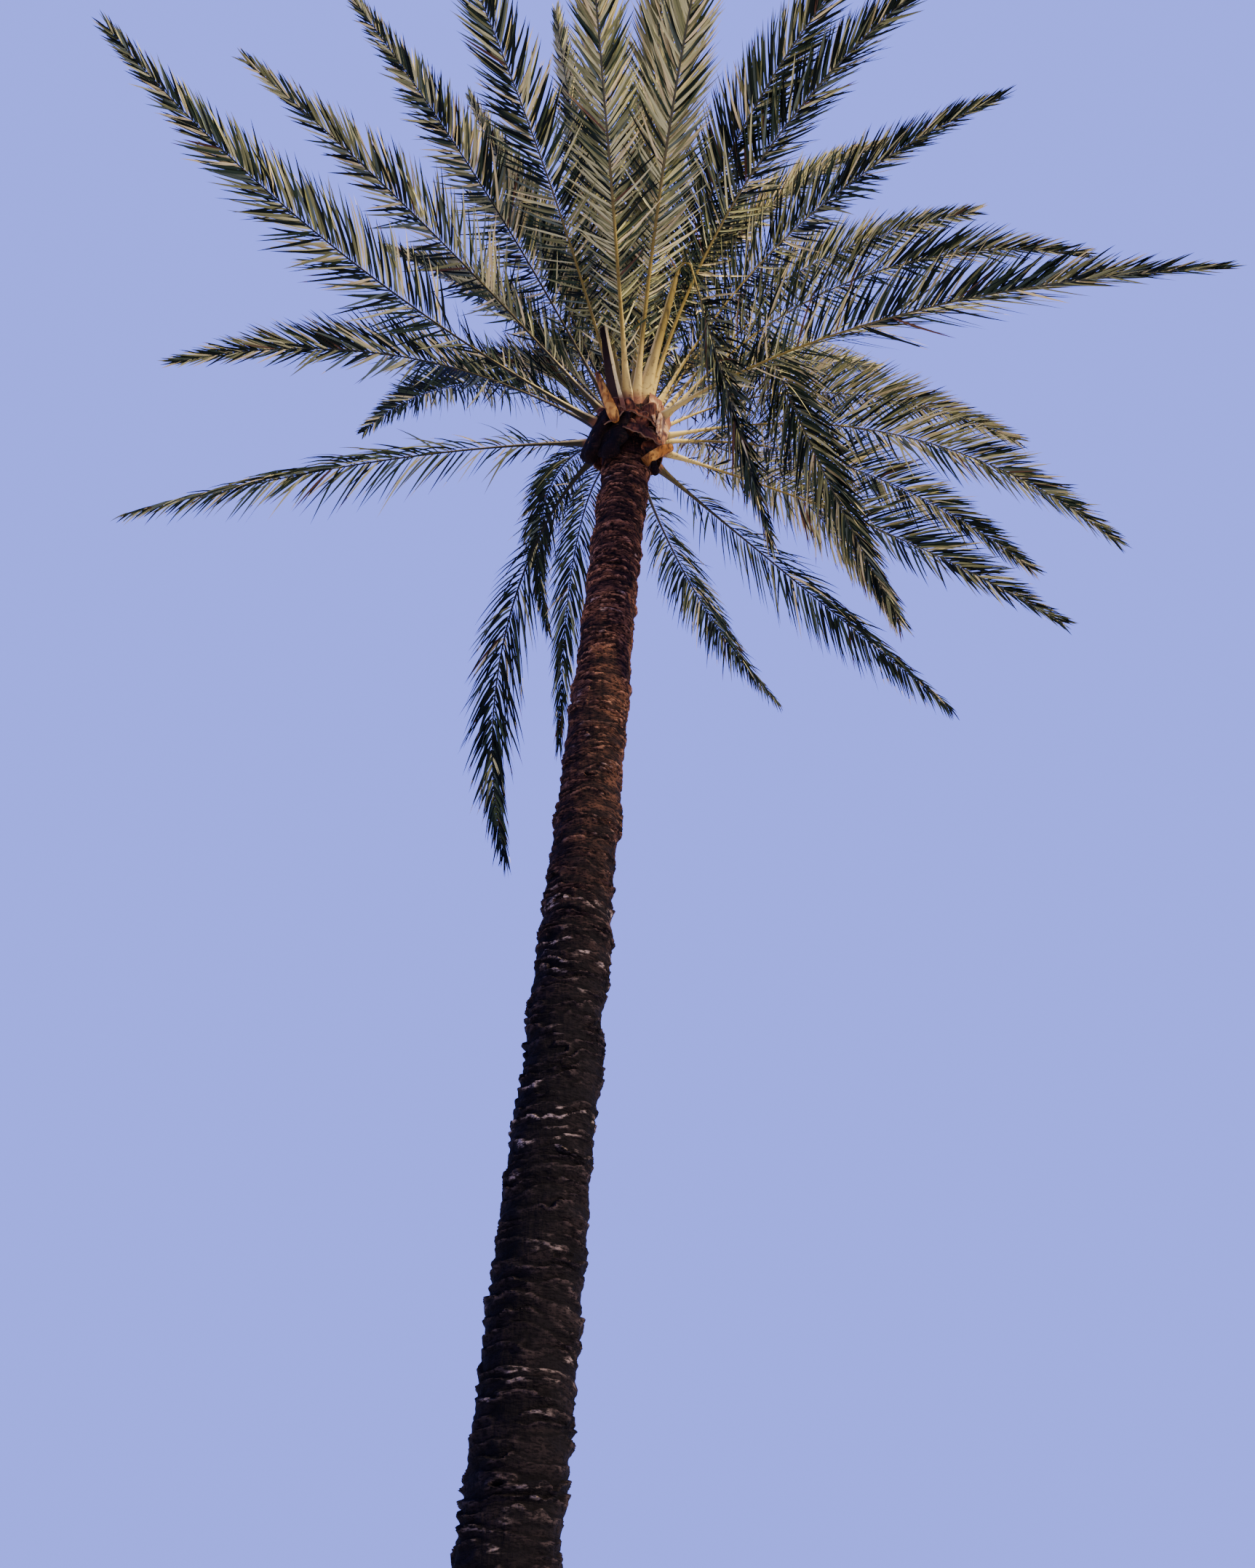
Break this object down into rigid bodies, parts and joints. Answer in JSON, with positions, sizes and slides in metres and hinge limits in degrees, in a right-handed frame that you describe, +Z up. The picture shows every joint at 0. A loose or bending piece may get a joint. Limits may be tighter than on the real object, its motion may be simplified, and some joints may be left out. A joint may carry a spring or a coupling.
{
  "type": "date palm tree",
  "caption": "Tall date palm with a slightly leaning ringed trunk, a heart of sawn leaf bases and a full crown of feather fronds, some of them snapped and hanging.",
  "frame": {"origin": "centre of the flat cut where the trunk meets the ground", "axes": "+Z up, +X the way the trunk leans, -Y the side that faces the viewer"},
  "size_m": [8.3383, 7.7099, 14.5314],
  "materials": {
    "bark": "rough ringed bark",
    "heart_fibre": "fibrous matt",
    "petiole": "smooth satin",
    "frond": "waxy satin"
  },
  "bodies": {
    "root": {"trunk": "bark", "crown_heart": "heart_fibre", "cut_stub": "petiole", "frond_a": "frond", "frond_b": "frond", "frond_c": "frond", "frond_c2": "frond", "frond_d": "frond", "frond_e": "frond", "frond_f": "frond", "frond_g": "frond", "frond_h": "frond", "frond_i_inner": "frond", "frond_i_outer": "frond", "frond_j_inner": "frond", "frond_j_outer": "frond", "frond_k": "frond", "frond_k2": "frond", "frond_l": "frond", "frond_m": "frond", "frond_n": "frond", "frond_q": "frond", "frond_r": "frond", "frond_s_inner": "frond", "frond_s_outer": "frond", "frond_t_inner": "frond", "frond_t_outer": "frond", "frond_u": "frond", "frond_v": "frond", "frond_w": "frond", "frond_x_inner": "frond", "frond_x_outer": "frond", "frond_y_inner": "frond", "frond_y_outer": "frond", "frond_x2_inner": "frond", "frond_x2_outer": "frond", "frond_aa": "frond", "frond_bb": "frond", "frond_cc": "frond", "frond_b2": "frond", "frond_dd": "frond", "frond_p2_inner": "frond", "frond_p2_outer": "frond", "frond_n1": "frond", "frond_n2": "frond", "frond_n4": "frond", "frond_n5": "frond", "frond_n6": "frond", "frond_spear_1": "frond", "frond_spear_2": "frond", "frond_o_inner": "frond", "frond_o_outer": "frond", "frond_p_inner": "frond", "frond_p_outer": "frond"}
  },
  "joints": []
}
